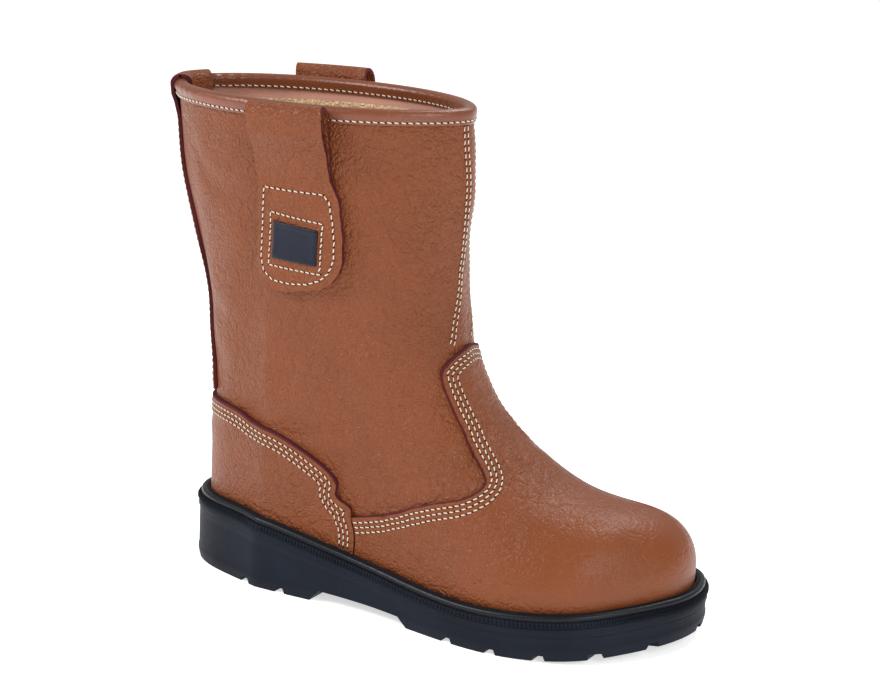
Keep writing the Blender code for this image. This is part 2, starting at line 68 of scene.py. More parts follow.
# Sole
sole_overhang = 0.0066
welt_bead = 0.0019
bead_drop = 0.0008
toe_spring = 0.0058
arch_rise = 0.0065
tread_depth = 0.0030
groove_width = 0.0048
groove_flare = 0.0008
groove_spread = 0.178
breast_slope = 0.006

# Pull loops
loop_opening = 0.0080
lateral_loop_rise = 0.0030
medial_loop_rise = 0.0082
medial_loop_turn = 24.5

# The foot's part of the last
# along from the heel (of last_length), outer and inner half width (of ball_width), top (of instep_height)
foot_table = (
    (0.197, 0.314, 0.314, 1.810),
    (0.342, 0.348, 0.324, 1.640),
    (0.466, 0.410, 0.343, 1.345),
    (0.573, 0.476, 0.390, 0.950),
    (0.680, 0.529, 0.448, 0.710),
    (0.765, 0.530, 0.490, 0.590),
    (0.838, 0.495, 0.505, 0.545),
    (0.895, 0.455, 0.545, 0.530),
    (0.950, 0.385, 0.615, 0.515),
    (1.000, 0.360, 0.640, 0.500),
)
# The shaft, from the heel seat to the collar
# height and backward lean (of shaft_height), depth (of collar_depth), width (of collar_width), fullness
shaft_table = (
    (0.113, -0.004, 0.780, 0.717, 2.15),
    (0.226, -0.008, 0.770, 0.783, 2.15),
    (0.358, -0.010, 0.770, 0.848, 2.15),
    (0.490, -0.003, 0.802, 0.891, 2.10),
    (0.623, 0.024, 0.882, 0.913, 2.00),
    (0.774, 0.068, 0.982, 0.946, 1.85),
    (0.925, 0.099, 1.035, 0.978, 1.75),
    (1.080, 0.113, 1.020, 1.000, 1.70),
)
# The feather line, where leather meets sole
# along from the heel (of last_length), height as a share of heel_height and of ball_height
feather_table = (
    (0.000, 1.03, 0.00),
    (0.181, 1.03, 0.00),
    (0.342, 0.55, 0.54),
    (0.518, 0.04, 1.13),
    (0.694, 0.00, 1.09),
    (0.860, 0.00, 1.23),
    (1.000, 0.00, 1.42),
)
# Rings of the upper
# share of the way up, height of the ring at the back and at the front (of shaft_height)
ring_table = (
    (0.00, 0.147, 0.112),
    (0.10, 0.175, 0.195),
    (0.20, 0.208, 0.278),
    (0.32, 0.250, 0.355),
    (0.45, 0.305, 0.445),
    (0.58, 0.440, 0.565),
    (0.70, 0.580, 0.695),
    (0.85, 0.790, 0.850),
    (1.00, 1.000, 1.008),
)
# Half of the vamp and its tongue, from the toe's middle to the counter
# degrees round at the feather line, degrees round and share of the way up at the edge
vamp_table = (
    (0.0, 0.0, 0.557),
    (5.0, 13.5, 0.551),
    (9.0, 22.0, 0.541),
    (12.0, 28.0, 0.528),
    (14.5, 31.0, 0.512),
    (19.0, 31.0, 0.463),
    (23.0, 31.5, 0.405),
    (27.0, 33.5, 0.348),
    (31.0, 36.0, 0.300),
    (36.0, 39.0, 0.273),
    (43.0, 45.0, 0.252),
    (52.0, 52.0, 0.237),
    (62.0, 61.0, 0.222),
    (76.0, 75.0, 0.190),
    (89.0, 87.5, 0.171),
    (100.8, 99.9, 0.138),
)
# Half of the counter, from its front edge to the middle of the back
# degrees round at the feather line, degrees round and share of the way up at the edge
counter_table = (
    (101.1, 100.2, 0.138),
    (114.5, 95.8, 0.185),
    (118.5, 91.0, 0.228),
    (121.5, 90.2, 0.275),
    (125.0, 95.0, 0.340),
    (130.0, 104.0, 0.404),
    (136.0, 115.5, 0.452),
    (142.0, 127.0, 0.477),
    (148.5, 137.5, 0.488),
    (155.0, 146.5, 0.493),
    (161.5, 155.0, 0.496),
    (167.5, 163.5, 0.499),
    (173.5, 171.5, 0.500),
    (180.0, 180.0, 0.501),
)
# The strip down the back seam: share of the way up, half width in degrees round
back_strip_table = (
    (0.507, 32.0),
    (0.605, 27.0),
    (0.700, 22.5),
    (0.805, 17.5),
    (0.905, 13.5),
    (1.000, 12.0),
)
# The outer side's pull loop, down from its fold
# share of the way up, degrees round at its rear and front edge, opening between layers (of loop_opening)
loop_table = (
    (0.700, 93.5, 78.5, 0.0),
    (0.708, 99.5, 74.0, 0.0),
    (0.724, 104.5, 71.0, 0.0),
    (0.745, 106.8, 70.0, 0.0),
    (0.787, 107.4, 70.5, 0.0),
    (0.853, 107.0, 73.5, 0.0),
    (0.885, 106.8, 77.0, 0.0),
    (0.925, 106.6, 77.3, 0.40),
    (0.960, 106.5, 77.5, 0.85),
    (0.990, 106.5, 77.5, 1.00),
)
# Ends of the strip inside and of the loops' lean, in binding legs below the collar
strip_end = 2.4
lean_ends = (3.0, 1.2)
badge_place = (0.750, 0.810, 80.5, 99.5)
badge_slope = 0.009
# Side of the sole: standoff from the leather (of sole_overhang), height from tread to top, lift in metres
side_table = (
    (0.94, 1.0, 0.0000),
    (1.00, 1.0, -0.0006),
    (1.00, 1.0, -0.0030),
    (0.90, 1.0, -0.0037),
    (0.90, 0.0, 0.0068),
    (0.95, 0.0, 0.0060),
    (0.95, 0.0, 0.0040),
    (0.82, 0.0, 0.0000),
)
# Cross-section of the welt: standoff from the leather and height over the feather line, in metres
welt_lip = ((0.0006, -1.0), (0.0006, 0.0010), (0.0010, 0.0013), (0.0014, 0.0004))

heel_breast = 0.319
forefoot_start = 0.549
spring_start = 0.700
heel_grooves = (0.164, 0.251)
forefoot_grooves = (0.643, 0.737, 0.830, 0.921)

toe_round = (0.80, 2.0)
toe_drop = (0.87, 2.3)
side_fullness = 2.25
ahead_tolerance = 0.001
shaft_fullness = 2.15
# The straight core that the rings of the upper are measured from, and its shortest reach, in ball widths
ring_core = 0.4
ring_reach = 0.05
# Where the toe's tip lies off the middle, in ball widths
tip_offset = 0.08


def columns(table):
    return [np.array(column, float) for column in zip(*table)]


def curve(places, values, at):
    """A natural cubic spline through a table's column, held level past its ends."""
    count = len(places)
    step = np.diff(places)
    rows = np.eye(count)
    right = np.zeros(count)
    for i in range(1, count - 1):
        rows[i, i - 1 : i + 2] = step[i - 1], 2 * (step[i - 1] + step[i]), step[i]
        right[i] = 6 * (
            (values[i + 1] - values[i]) / step[i] - (values[i] - values[i - 1]) / step[i - 1]
        )
    bend = np.linalg.solve(rows, right)
    at = np.clip(at, places[0], places[-1])
    i = np.clip(np.searchsorted(places, at) - 1, 0, count - 2)
    after = at - places[i]
    before = places[i + 1] - at
    cubic = (bend[i] * before**3 + bend[i + 1] * after**3) / (6 * step[i])
    low = values[i] / step[i] - bend[i] * step[i] / 6
    high = values[i + 1] / step[i] - bend[i + 1] * step[i] / 6
    return cubic + low * before + high * after


def along(x):
    """Share of the last's length, from the back of the heel."""
    return (x + heel_setback) / last_length


def place(share):
    return share * last_length - heel_setback


def feather_height(x):
    share, heel, ball = columns(feather_table)
    return curve(share, heel * heel_height + ball * ball_height, along(x))


def narrowing(share, start, power):
    """1 before the start, then rounding off to 0 at the tip of the toe."""
    past = np.clip((share - start) / (1 - start), 0, 1)
    return np.maximum(1 - past**power, 1e-6) ** (1 / power)


def foot_form(x, y, z):
    """Below zero inside the foot's part of the last, in metres near its face."""
    share, outer, inner, top = columns(foot_table)
    s = along(x)
    outer_side = curve(share, outer, s) * ball_width
    inner_side = curve(share, inner, s) * ball_width
    middle = (inner_side - outer_side) / 2
    half = (inner_side + outer_side) / 2 * narrowing(s, *toe_round)
    widest = feather_height(x) + widest_rise
    height = (curve(share, top, s) * instep_height - widest) * narrowing(s, *toe_drop)
    above = np.maximum(z - widest, 0) / height
    below = np.maximum(widest - z, 0) / undercut_depth
    form = (np.abs(y - middle) / half) ** side_fullness + above**2 + below**2
    behind = np.maximum(share[0] - s, 0) * last_length
    ahead = np.maximum(s - 1, 0) * last_length / ahead_tolerance
    return (np.sqrt(form) - 1) * np.minimum(half, undercut_depth) + behind + ahead


def shaft_form(x, y, z):
    """Below zero inside the shaft and the heel."""
    share, lean, depth, width, fullness = columns(shaft_table)
    s = z / shaft_height
    back = -heel_setback - curve(share, lean, s) * shaft_height
    deep = curve(share, depth, s) * collar_depth / 2
    half = curve(share, width, s) * collar_width / 2
    side = curve(share, fullness, s)
    form = (np.abs(x - back - deep) / deep) ** shaft_fullness + (np.abs(y) / half) ** side
    return (np.sqrt(form) - 1) * half


def boot_form(x, y, z):
    """Foot and shaft joined with a soft fillet at the instep."""
    foot = foot_form(x, y, z)
    shaft = shaft_form(x, y, z)
    mix = np.clip(0.5 + 0.5 * (shaft - foot) / instep_blend, 0, 1)
    return shaft + (foot - shaft) * mix - instep_blend * mix * (1 - mix)


def front_of(z):
    """Where the middle of the boot's front is at each height, found from the toe backwards."""
    tries = np.linspace(0.17, 1.01, 400) * last_length
    heights, index = np.unique(z, return_inverse=True)
    big_toe = np.where(tries > 0.5 * last_length, tip_offset * ball_width, 0)
    inside = boot_form(tries, big_toe, heights[:, None]) < 0
    last = tries.size - 1 - np.argmax(inside[:, ::-1], axis=1)
    return tries[last][index].reshape(z.shape)


def ring_lines(up):
    """Of each ring: height at the back, x at the front, slope, and how far it bends to the feather line."""
    share, back_share, front_share = columns(ring_table)
    back_z = np.interp(up, share, back_share) * shaft_height
    front_z = np.interp(up, share, front_share) * shaft_height
    front_x = front_of(front_z)
    return back_z, front_x, (front_z - back_z) / (front_x + heel_setback), (1 - up) ** 3


def ring_point(turn, ring, far):
    """A point at a distance from the middle line of a ring of the upper, at the ring's height there."""
    back_z, front_x, slope, bend = ring
    reach = np.maximum((front_x + heel_setback) / 2 - ring_core * ball_width, ring_reach * ball_width)
    x = (front_x - heel_setback) / 2 + (reach + far) * np.cos(turn)
    lowest = (ring_table[0][1] + (ring_table[0][2] - ring_table[0][1]) * along(x)) * shaft_height
    height = back_z + slope * (x + heel_setback) + bend * (feather_height(x) - lowest)
    return x, far * np.sin(turn), height


def face_points(turn, up):
    """Points of the upper's outer face: turn in radians from the toe, up the share from sole to collar."""
    ring = ring_lines(up)
    low = np.zeros(turn.shape)
    high = np.full(turn.shape, 1.5 * ball_width)
    for _ in range(22):
        far = (low + high) / 2
        outside = boot_form(*ring_point(turn, ring, far)) > 0
        high = np.where(outside, far, high)
        low = np.where(outside, low, far)
    return np.stack(ring_point(turn, ring, (low + high) / 2), -1)


def unit(vectors):
    return vectors / np.linalg.norm(vectors, axis=-1, keepdims=True)


def with_skirt(points):
    """Adds a lowest row that goes down beside the sole by the lasting margin."""
    low = points[0].copy()
    low[:, 2] = feather_height(low[:, 0]) - lasting_margin
    return np.concatenate([low[None], points])


def outline_points(degrees, standoff, height):
    """Points round the sole, at a level standoff from the leather and a height over the feather line."""
    turn = np.radians(degrees)
    up = np.zeros_like(turn)
    step = 0.02
    edge = face_points(turn, up)
    tangent = face_points(turn + step, up) - face_points(turn - step, up)
    normal = unit(np.stack([tangent[:, 1], -tangent[:, 0], up], -1))
    points = edge + normal * standoff
    points[:, 2] = feather_height(points[:, 0]) + height
    return points


def tread_height(x):
    """The bottom of the forepart, which springs up at the toe."""
    past = np.maximum(along(x) - spring_start, 0) / (1 - spring_start)
    return toe_spring * past**2


# Finish of the leather and its seams
skin_turns = 600
skin_rows = 300
raw_rim = 0.0013
vamp_seam = (0.0032, 0.0058, 0.0086)
counter_seam = (0.0036, 0.0064, 0.0090)
strip_seam = (0.0022, 0.0052)
front_seam = (0.0, 0.0026)
collar_pitch = 0.0036
outer_drop = 0.0050
inner_drop = 0.0045
thread_lift = 0.0001
fleece_depth = 0.0028
fleece_fuzz = 0.0005
knurl_depth = 0.0010
inner_leg = 0.0056
facing_below = 0.0010
# A cut edge: the drops of its corner's two rows, and how deep its wall ends in the leather
corner_start = 0.0001
corner_drop = 0.0006
edge_sink = 0.0004
# Half the run over which a stitch's direction is read
half_look = 0.0005
# Painted shade of a stitch's holes: dark ovals that lie just over the leather
hole_length = 0.0012
hole_width = 0.0010
hole_lift = 0.00012
# Heights of the sole's fine side lines off the top and the foot of its side
line_top = -0.0037
line_foot = 0.0068
# The photo's view: azimuth, elevation and roll in degrees, the target, its distance and the lens in mm
view_angles = (28.2, 14.7, 2.5)
view_target = (0.1027, 0, 0.1366)
view_distance = 1.33
view_lens = 102.7
# The lamps: name, place, size and power
lamp_table = (
    ("key", (-0.95, -0.95, 1.2), 0.7, 21),
    ("fill", (1.3, -0.7, 0.8), 0.8, 10),
    ("rim", (0.3, 0.9, 1.5), 0.8, 14),
)


def make_skin():
    """The upper's face as a dense grid of points, normals and upward directions."""
    degrees = np.linspace(-180, 180, skin_turns + 1)
    up = np.linspace(0, 1, skin_rows + 1)
    points = face_points(*np.meshgrid(np.radians(degrees), up))
    around = np.roll(points[:, :-1], -1, axis=1) - np.roll(points[:, :-1], 1, axis=1)
    around = np.concatenate([around, around[:, :1]], axis=1)
    upward = np.gradient(points, axis=0)
    return points, unit(np.cross(around, upward)), unit(upward)


SKIN = make_skin()


def skin_at(degrees, up):
    """Point, normal and upward direction of the face, read from the dense grid."""
    degrees, up = np.broadcast_arrays(np.asarray(degrees, float), np.asarray(up, float))
    a = (degrees + 180) % 360 / 360 * skin_turns
    b = np.clip(up, 0, 1) * skin_rows
    i = np.minimum(a.astype(int), skin_turns - 1)
    j = np.minimum(b.astype(int), skin_rows - 1)
    fa = (a - i)[..., None]
    fb = (b - j)[..., None]
    read = []
    for grid in SKIN:
        low = grid[j, i] * (1 - fa) + grid[j, i + 1] * fa
        high = grid[j + 1, i] * (1 - fa) + grid[j + 1, i + 1] * fa
        read.append(low * (1 - fb) + high * fb)
    return read[0], unit(read[1]), unit(read[2])


# Main creases: two ends as degrees round and share up, half width and depth in metres
crease_table = (
    (-33, 0.42, -52, 0.33, 0.0035, 0.0006),
    (-30, 0.36, -50, 0.28, 0.0030, 0.0005),
    (-24, 0.335, -12, 0.40, 0.0030, 0.0005),
    (-27, 0.30, -8, 0.355, 0.0030, 0.0006),
    (-31, 0.27, -12, 0.30, 0.0030, 0.0005),
    (-30, 0.25, -4, 0.27, 0.0035, 0.0004),
    (-40, 0.50, -75, 0.44, 0.0050, 0.0006),
    (-38, 0.57, -70, 0.52, 0.0045, 0.0005),
    (-75, 0.40, -118, 0.47, 0.0050, 0.0005),
    (-60, 0.62, -100, 0.60, 0.0045, 0.0004),
    (-125, 0.58, -150, 0.60, 0.0040, 0.0005),
    (-115, 0.66, -150, 0.70, 0.0040, 0.0004),
    (-45, 0.66, -20, 0.70, 0.0040, 0.0004),
    (-120, 0.86, -150, 0.93, 0.0035, 0.0005),
    (-35, 0.80, -60, 0.86, 0.0045, 0.0004),
    (24, 0.335, 12, 0.40, 0.0030, 0.0005),
    (27, 0.30, 8, 0.355, 0.0030, 0.0006),
    (33, 0.42, 52, 0.33, 0.0035, 0.0006),
    (40, 0.50, 75, 0.44, 0.0050, 0.0006),
    (60, 0.62, 110, 0.60, 0.0045, 0.0005),
    (75, 0.40, 120, 0.46, 0.0050, 0.0005),
    (120, 0.70, 150, 0.76, 0.0040, 0.0005),
)


def relief(degrees, up):
    """How far the leather stands in or out of the smooth form: soft waves, and the creases' troughs."""
    degrees = (np.asarray(degrees, float) + 180) % 360 - 180
    turn = np.radians(degrees)
    shaft = np.clip((up - 0.3) / 0.25, 0, 1) * np.clip((1 - up) / 0.06, 0, 1)
    waves = 0.0007 * np.sin(3 * turn + 9 * up) * np.cos(5 * turn - 17 * up + 1.0)
    waves = waves + 0.0004 * np.sin(11 * turn + 23 * up + 0.5) * np.sin(31 * up - 4 * turn)
    out = waves * shaft
    across = 0.090
    tall = 0.230
    x = degrees / 57.3 * across
    y = up * tall
    for a0, b0, a1, b1, width, depth in crease_table:
        start = np.array([a0 / 57.3 * across, b0 * tall])
        way = np.array([a1 / 57.3 * across, b1 * tall]) - start
        length = np.hypot(*way)
        way = way / length
        s = (x - start[0]) * way[0] + (y - start[1]) * way[1]
        bow = 0.10 * length * np.sin(np.pi * np.clip(s / length, 0, 1))
        t = (x - start[0]) * -way[1] + (y - start[1]) * way[0] - bow
        fade = np.clip(s / (0.3 * length), 0, 1) * np.clip((length - s) / (0.3 * length), 0, 1)
        rims = np.exp(-(((np.abs(t) - 1.9 * width) / width) ** 2))
        trough = np.exp(-((t / width) ** 2)) - 0.55 * rims
        out = out - depth * fade * trough
    return out


def face(degrees, up, standoff=0.0, beyond=0.0):
    """The leather's face with its creases, at a standoff, and a way above the collar in metres."""
    point, normal, upward = skin_at(degrees, up)
    out = (np.asarray(standoff, float) + relief(degrees, up))[..., None]
    return point + normal * out + upward * np.asarray(beyond, float)[..., None]


def shade(
    name,
    color,
    roughness,
    shine=0.3,
    grain=0.0,
    cell=0.0026,
    crease=0.0,
    coat=0.0,
    sheen=0.0,
    spread=0.0,
    smooth_toe=False,
):
    """A material with a mottled colour, a pebbled grain of that cell size, and wandering creases.

    grain and crease are heights in metres. smooth_toe lets both die away towards the toe.
    """
    material = bpy.data.materials.new(name)
    material.use_nodes = True
    tree = material.node_tree
    link = tree.links.new
    shader = tree.nodes["Principled BSDF"]
    shader.inputs["Roughness"].default_value = roughness
    shader.inputs["Specular IOR Level"].default_value = shine
    shader.inputs["Coat Weight"].default_value = coat
    shader.inputs["Coat Roughness"].default_value = 0.22
    shader.inputs["Sheen Weight"].default_value = sheen
    where = tree.nodes.new("ShaderNodeTexCoord").outputs["Object"]

    def noise(scale, detail=4.0):
        node = tree.nodes.new("ShaderNodeTexNoise")
        node.inputs["Scale"].default_value = scale
        node.inputs["Detail"].default_value = detail
        link(where, node.inputs["Vector"])
        return node

    def math(kind, first, second):
        node = tree.nodes.new("ShaderNodeMath")
        node.operation = kind
        for socket, value in zip(node.inputs, (first, second)):
            if isinstance(value, (int, float)):
                socket.default_value = value
            else:
                link(value, socket)
        return node.outputs[0]

    def valleys(size, warp, width):
        """Lines between cells: 0 in a line, 1 away from it."""
        scale = 1 / size
        shift = tree.nodes.new("ShaderNodeVectorMath")
        shift.operation = "MULTIPLY_ADD"
        shift.inputs[1].default_value = (warp * size,) * 3
        link(noise(scale * 0.55).outputs["Color"], shift.inputs[0])
        link(where, shift.inputs[2])
        cells = tree.nodes.new("ShaderNodeTexVoronoi")
        cells.feature = "DISTANCE_TO_EDGE"
        cells.inputs["Scale"].default_value = scale
        link(shift.outputs[0], cells.inputs["Vector"])
        level = tree.nodes.new("ShaderNodeMapRange")
        level.interpolation_type = "SMOOTHSTEP"
        level.inputs["From Max"].default_value = width
        link(cells.outputs["Distance"], level.inputs["Value"])
        return level.outputs["Result"]

    height = None
    if grain:
        pebble = math("MULTIPLY", valleys(cell, 0.9, 0.30), grain)
        fine = math("MULTIPLY", noise(1 / cell * 2.2).outputs["Fac"], grain * 0.7)
        height = math("ADD", pebble, fine)
    if crease:
        patch = tree.nodes.new("ShaderNodeMapRange")
        patch.inputs["From Min"].default_value = 0.36
        patch.inputs["From Max"].default_value = 0.52
        link(noise(55.0, 2.0).outputs["Fac"], patch.inputs["Value"])
        folds = math("MULTIPLY", math("SUBTRACT", valleys(0.0080, 1.6, 0.20), 1.0), crease)
        height = math("ADD", height, math("MULTIPLY", folds, patch.outputs["Result"]))
    if height is not None:
        if smooth_toe:
            axes = tree.nodes.new("ShaderNodeSeparateXYZ")
            link(where, axes.inputs[0])
            fade = tree.nodes.new("ShaderNodeMapRange")
            fade.interpolation_type = "SMOOTHSTEP"
            fade.inputs["From Min"].default_value = 0.130
            fade.inputs["From Max"].default_value = 0.215
            fade.inputs["To Min"].default_value = 1.0
            fade.inputs["To Max"].default_value = 0.28
            link(axes.outputs["X"], fade.inputs["Value"])
            height = math("MULTIPLY", height, fade.outputs["Result"])
        rise = tree.nodes.new("ShaderNodeBump")
        rise.inputs["Strength"].default_value = 1.0
        rise.inputs["Distance"].default_value = 1.0
        link(height, rise.inputs["Height"])
        link(rise.outputs["Normal"], shader.inputs["Normal"])
        if coat:
            link(rise.outputs["Normal"], shader.inputs["Coat Normal"])
    if spread:
        ramp = tree.nodes.new("ShaderNodeValToRGB")
        ramp.color_ramp.elements[0].position = 0.32
        ramp.color_ramp.elements[1].position = 0.68
        ramp.color_ramp.elements[0].color = (*[c * (1 - spread) for c in color], 1)
        ramp.color_ramp.elements[1].color = (*[min(1, c * (1 + spread)) for c in color], 1)
        link(noise(30.0, 8.0).outputs["Fac"], ramp.inputs["Fac"])
        link(ramp.outputs["Color"], shader.inputs["Base Color"])
    else:
        shader.inputs["Base Color"].default_value = (*color, 1)
    return material


def make_mesh(name, points, faces):
    """A mesh from points and faces, with its faces turned outwards."""
    mesh = bpy.data.meshes.new(name)
    points = np.asarray(points, float).reshape(-1, 3).tolist()
    mesh.from_pydata(points, [], [list(map(int, corners)) for corners in faces])
    body = bmesh.new()
    body.from_mesh(mesh)
    bmesh.ops.recalc_face_normals(body, faces=body.faces)
    body.to_mesh(mesh)
    body.free()
    return mesh


def place_piece(name, points, faces, materials, nodes=(), which=None, angle=40):
    """A mesh of the visual model, which rides on the root and may stand for CAD nodes."""
    mesh = make_mesh(name, points, faces)
    mesh.shade_smooth()
    mesh.set_sharp_from_angle(angle=np.radians(angle))
    for material in materials:
        mesh.materials.append(material)
    if which is not None:
        mesh.polygons.foreach_set("material_index", np.asarray(which, np.int32))
    piece = bpy.data.objects.new(name, mesh)
    bpy.context.scene.collection.objects.link(piece)
    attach(piece, "root")
    if nodes:
        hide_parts(*nodes)
    return piece


def cut_leather(name, points, faces, node, which):
    """A piece of the tan leather, raw on the faces where which is 1."""
    materials = [MATERIALS["leather"], MATERIALS["raw"]]
    place_piece(name, points, faces, materials, [node], np.ravel(which), 50)


def grid_faces(rows, count, start=0, ring=False):
    """Quads of a grid of points. A ring closes on itself sideways."""
    at = np.arange(rows * count).reshape(rows, count) + start
    if ring:
        at = np.column_stack([at, at[:, 0]])
    return np.stack([at[:-1, :-1], at[:-1, 1:], at[1:, 1:], at[1:, :-1]], -1).reshape(-1, 4)


def torus_faces(rows, count):
    """Quads of a grid that closes on itself both ways."""
    at = np.arange(rows * count).reshape(rows, count)
    at = np.column_stack([at, at[:, 0]])
    at = np.concatenate([at, at[:1]])
    return np.stack([at[:-1, :-1], at[:-1, 1:], at[1:, 1:], at[1:, :-1]], -1).reshape(-1, 4)


def smooth_table(table, count):
    """A panel table redrawn with more entries: straight runs at the foot, smooth ones along the edge."""
    at = np.linspace(0, len(table) - 1, count)
    index = np.arange(len(table), dtype=float)
    foot, edge, top = columns(table)
    return np.interp(at, index, foot), curve(index, edge, at), curve(index, top, at)


def step_on_face(degrees, up, away):
    """Moves surface places by tangent vectors in metres."""
    d = 0.2
    e = 0.002
    east = (skin_at(degrees + d, up)[0] - skin_at(degrees - d, up)[0]) / (2 * d)
    low = np.clip(up - e, 0, 1)
    high = np.clip(up + e, 0, 1)
    north = (skin_at(degrees, high)[0] - skin_at(degrees, low)[0]) / (high - low)[:, None]
    a = (east * east).sum(-1)
    b = (east * north).sum(-1)
    c = (north * north).sum(-1)
    p = (east * away).sum(-1)
    q = (north * away).sum(-1)
    whole = a * c - b * b
    return degrees + (c * p - b * q) / whole, up + (a * q - b * p) / whole


def inset(degrees, up, distance):
    """A surface line moved sideways, to the left of its run, by a distance in metres."""
    point, normal, _ = skin_at(degrees, up)
    run = unit(np.gradient(point, axis=0))
    target = point + np.cross(normal, run) * distance
    for _ in range(4):
        degrees, up = step_on_face(degrees, up, target - skin_at(degrees, up)[0])
    return degrees, up


def seam_lines(table, back_to_front, gaps, with_ends):
    """Lines on a panel at equal distances from its cut edge, as degrees round and shares up."""
    foot, edge, top = smooth_table(mirrored(table, back_to_front), 360)
    share = 1 - np.linspace(0, 1, 130)[:, None] ** 1.4
    degrees = foot + (edge - foot) * share
    up = top * share
    points = skin_at(degrees, up)[0]
    border = points[0]
    if with_ends:
        border = np.concatenate([points[::3, 0], border, points[::3, -1]])
    distance = np.full(up.shape, 1.0)
    for spot in border:
        distance = np.minimum(distance, np.linalg.norm(points - spot, axis=-1))
    lines = []
    for gap in gaps:
        over = distance - gap
        places = []
        for d0, d1, o0, o1, u0, u1 in (
            (degrees[:-1], degrees[1:], over[:-1], over[1:], up[:-1], up[1:]),
            (degrees[:, :-1], degrees[:, 1:], over[:, :-1], over[:, 1:], up[:, :-1], up[:, 1:]),
        ):
            at = np.nonzero(o0 * o1 < 0)
            part = o0[at] / (o0[at] - o1[at])
            d = d0[at] + part * (d1[at] - d0[at])
            u = u0[at] + part * (u1[at] - u0[at])
            places.append(np.stack([d, u], -1))
        places = np.concatenate(places)
        spots = skin_at(places[:, 0], places[:, 1])[0]
        left = np.ones(len(places), bool)
        now = int(np.argmin(places[:, 0] + 400 * places[:, 1] * with_ends))
        order = []
        while True:
            order.append(now)
            left[now] = False
            if not left.any():
                break
            far = np.where(left, np.linalg.norm(spots - spots[now], axis=-1), 9.0)
            now = int(np.argmin(far))
            if far[now] > 0.006:
                break
        line = places[order]
        for _ in range(6):
            line[1:-1] = (line[:-2] + line[1:-1] + line[2:]) / 3
        lines.append((line[:, 0], line[:, 1]))
    return lines


def read_along(at, run, rows):
    """Rows of vectors read at distances along their run."""
    return np.stack([np.interp(at, run, rows[:, k]) for k in range(3)], -1)


def space_out(line, normal, pitch):
    """Places, directions and normals at even distances along a line."""
    run = np.concatenate([[0], np.cumsum(np.linalg.norm(np.diff(line, axis=0), axis=1))])
    count = max(int(run[-1] / pitch), 1)
    at = (np.arange(count) + 0.5) * run[-1] / count
    ahead = read_along(at + half_look, run, line)
    before = read_along(at - half_look, run, line)
    return read_along(at, run, line), unit(ahead - before), unit(read_along(at, run, normal))


def stitch_row(degrees, up, standoff, pitch=0.0035, low=0.02):
    """Places and directions of the stitches along a surface line, at a standoff."""
    keep = up > low
    degrees = degrees[keep]
    up = up[keep]
    point, normal, _ = skin_at(degrees, up)
    point = point + normal * (standoff + relief(degrees, up))[:, None]
    return space_out(point, normal, pitch)


def make_stitches(name, rows, length=0.0025, width=0.00068):
    """All stitches of some rows as one mesh of small rounded lozenges, and one of dark ovals that paint the
    shade in their holes.
    """
    middle = np.concatenate([row[0] for row in rows])
    along_row = np.concatenate([row[1] for row in rows])
    out = np.concatenate([row[2] for row in rows])
    side = np.cross(along_row, out)
    slant = unit(along_row + 0.16 * side)
    side = np.cross(slant, out)
    stations = (
        (-0.5, 0.25, -0.3),
        (-0.42, 0.8, 0.25),
        (-0.15, 1.0, 0.6),
        (0.15, 1.0, 0.6),
        (0.42, 0.8, 0.25),
        (0.5, 0.25, -0.3),
    )
    turns = np.radians(np.arange(0, 360, 60))
    points = []
    for share, wide, lift in stations:
        for turn in turns:
            across = width / 2 * wide * np.cos(turn)
            rise = width * 0.5 * lift + width * 0.42 * wide * np.sin(turn)
            points.append(middle + slant * (share * length) + side * across + out * rise)
    points = np.stack(points, 1)
    size = points.shape[1]
    tube = grid_faces(len(stations), 6, ring=True)
    faces = np.concatenate([tube + size * i for i in range(len(middle))])
    place_piece(name, points, faces, [MATERIALS["thread"]], angle=80)
    # Painted shade: a dark oval at the end of each stitch, where the thread goes into the leather
    shade_dots = []
    for turn in np.radians(np.arange(0, 360, 60)):
        forward = length * 0.66 + hole_length / 2 * np.cos(turn)
        shade_dots.append(
            middle + along_row * forward + side * (hole_width / 2) * np.sin(turn) + out * hole_lift
        )
    shade_dots = np.stack(shade_dots, 1)
    flat = np.arange(len(middle) * 6).reshape(-1, 6)
    place_piece(name + "_holes", shade_dots, flat, [MATERIALS["hole"]])


def panel(name, table, thickness, back_to_front, node, columns_count, rows_count):
    """A panel with its creases and a raw edge."""
    foot, edge, top = smooth_table(mirrored(table, back_to_front), columns_count)
    share = np.linspace(0, 1, rows_count)[:, None]
    degrees = foot + (edge - foot) * share
    up = top * share
    # Rounded top corner of the cut edge, then its wall
    run_d, run_u = inset(edge, top, -raw_rim)
    degrees = np.concatenate([degrees[:-1], run_d[None], edge[None], edge[None], edge[None]])
    up = np.concatenate([up[:-1], np.clip(run_u, 0, 1)[None], top[None], top[None], top[None]])
    standoff = np.full(len(degrees), clearance + thickness)
    standoff[-3] -= corner_start
    standoff[-2] -= corner_drop
    standoff[-1] = -edge_sink
    points = face(degrees, up, standoff[:, None])
    points = with_skirt(points)
    side = []
    for column in (0, -1):
        side.append(with_skirt(face(degrees[:, [column]], up[:, [column]], -edge_sink)))
    points = np.concatenate([side[0], points, side[1]], axis=1)
    rows, count = points.shape[:2]
    faces = grid_faces(rows, count)
    which = np.zeros((rows - 1, count - 1), int)
    which[-3:] = 1
    which[:, 0] = 1
    which[:, -1] = 1
    cut_leather(name, points, faces, node, which)


TAN = (0.188, 0.047, 0.0110)
MATERIALS = {}


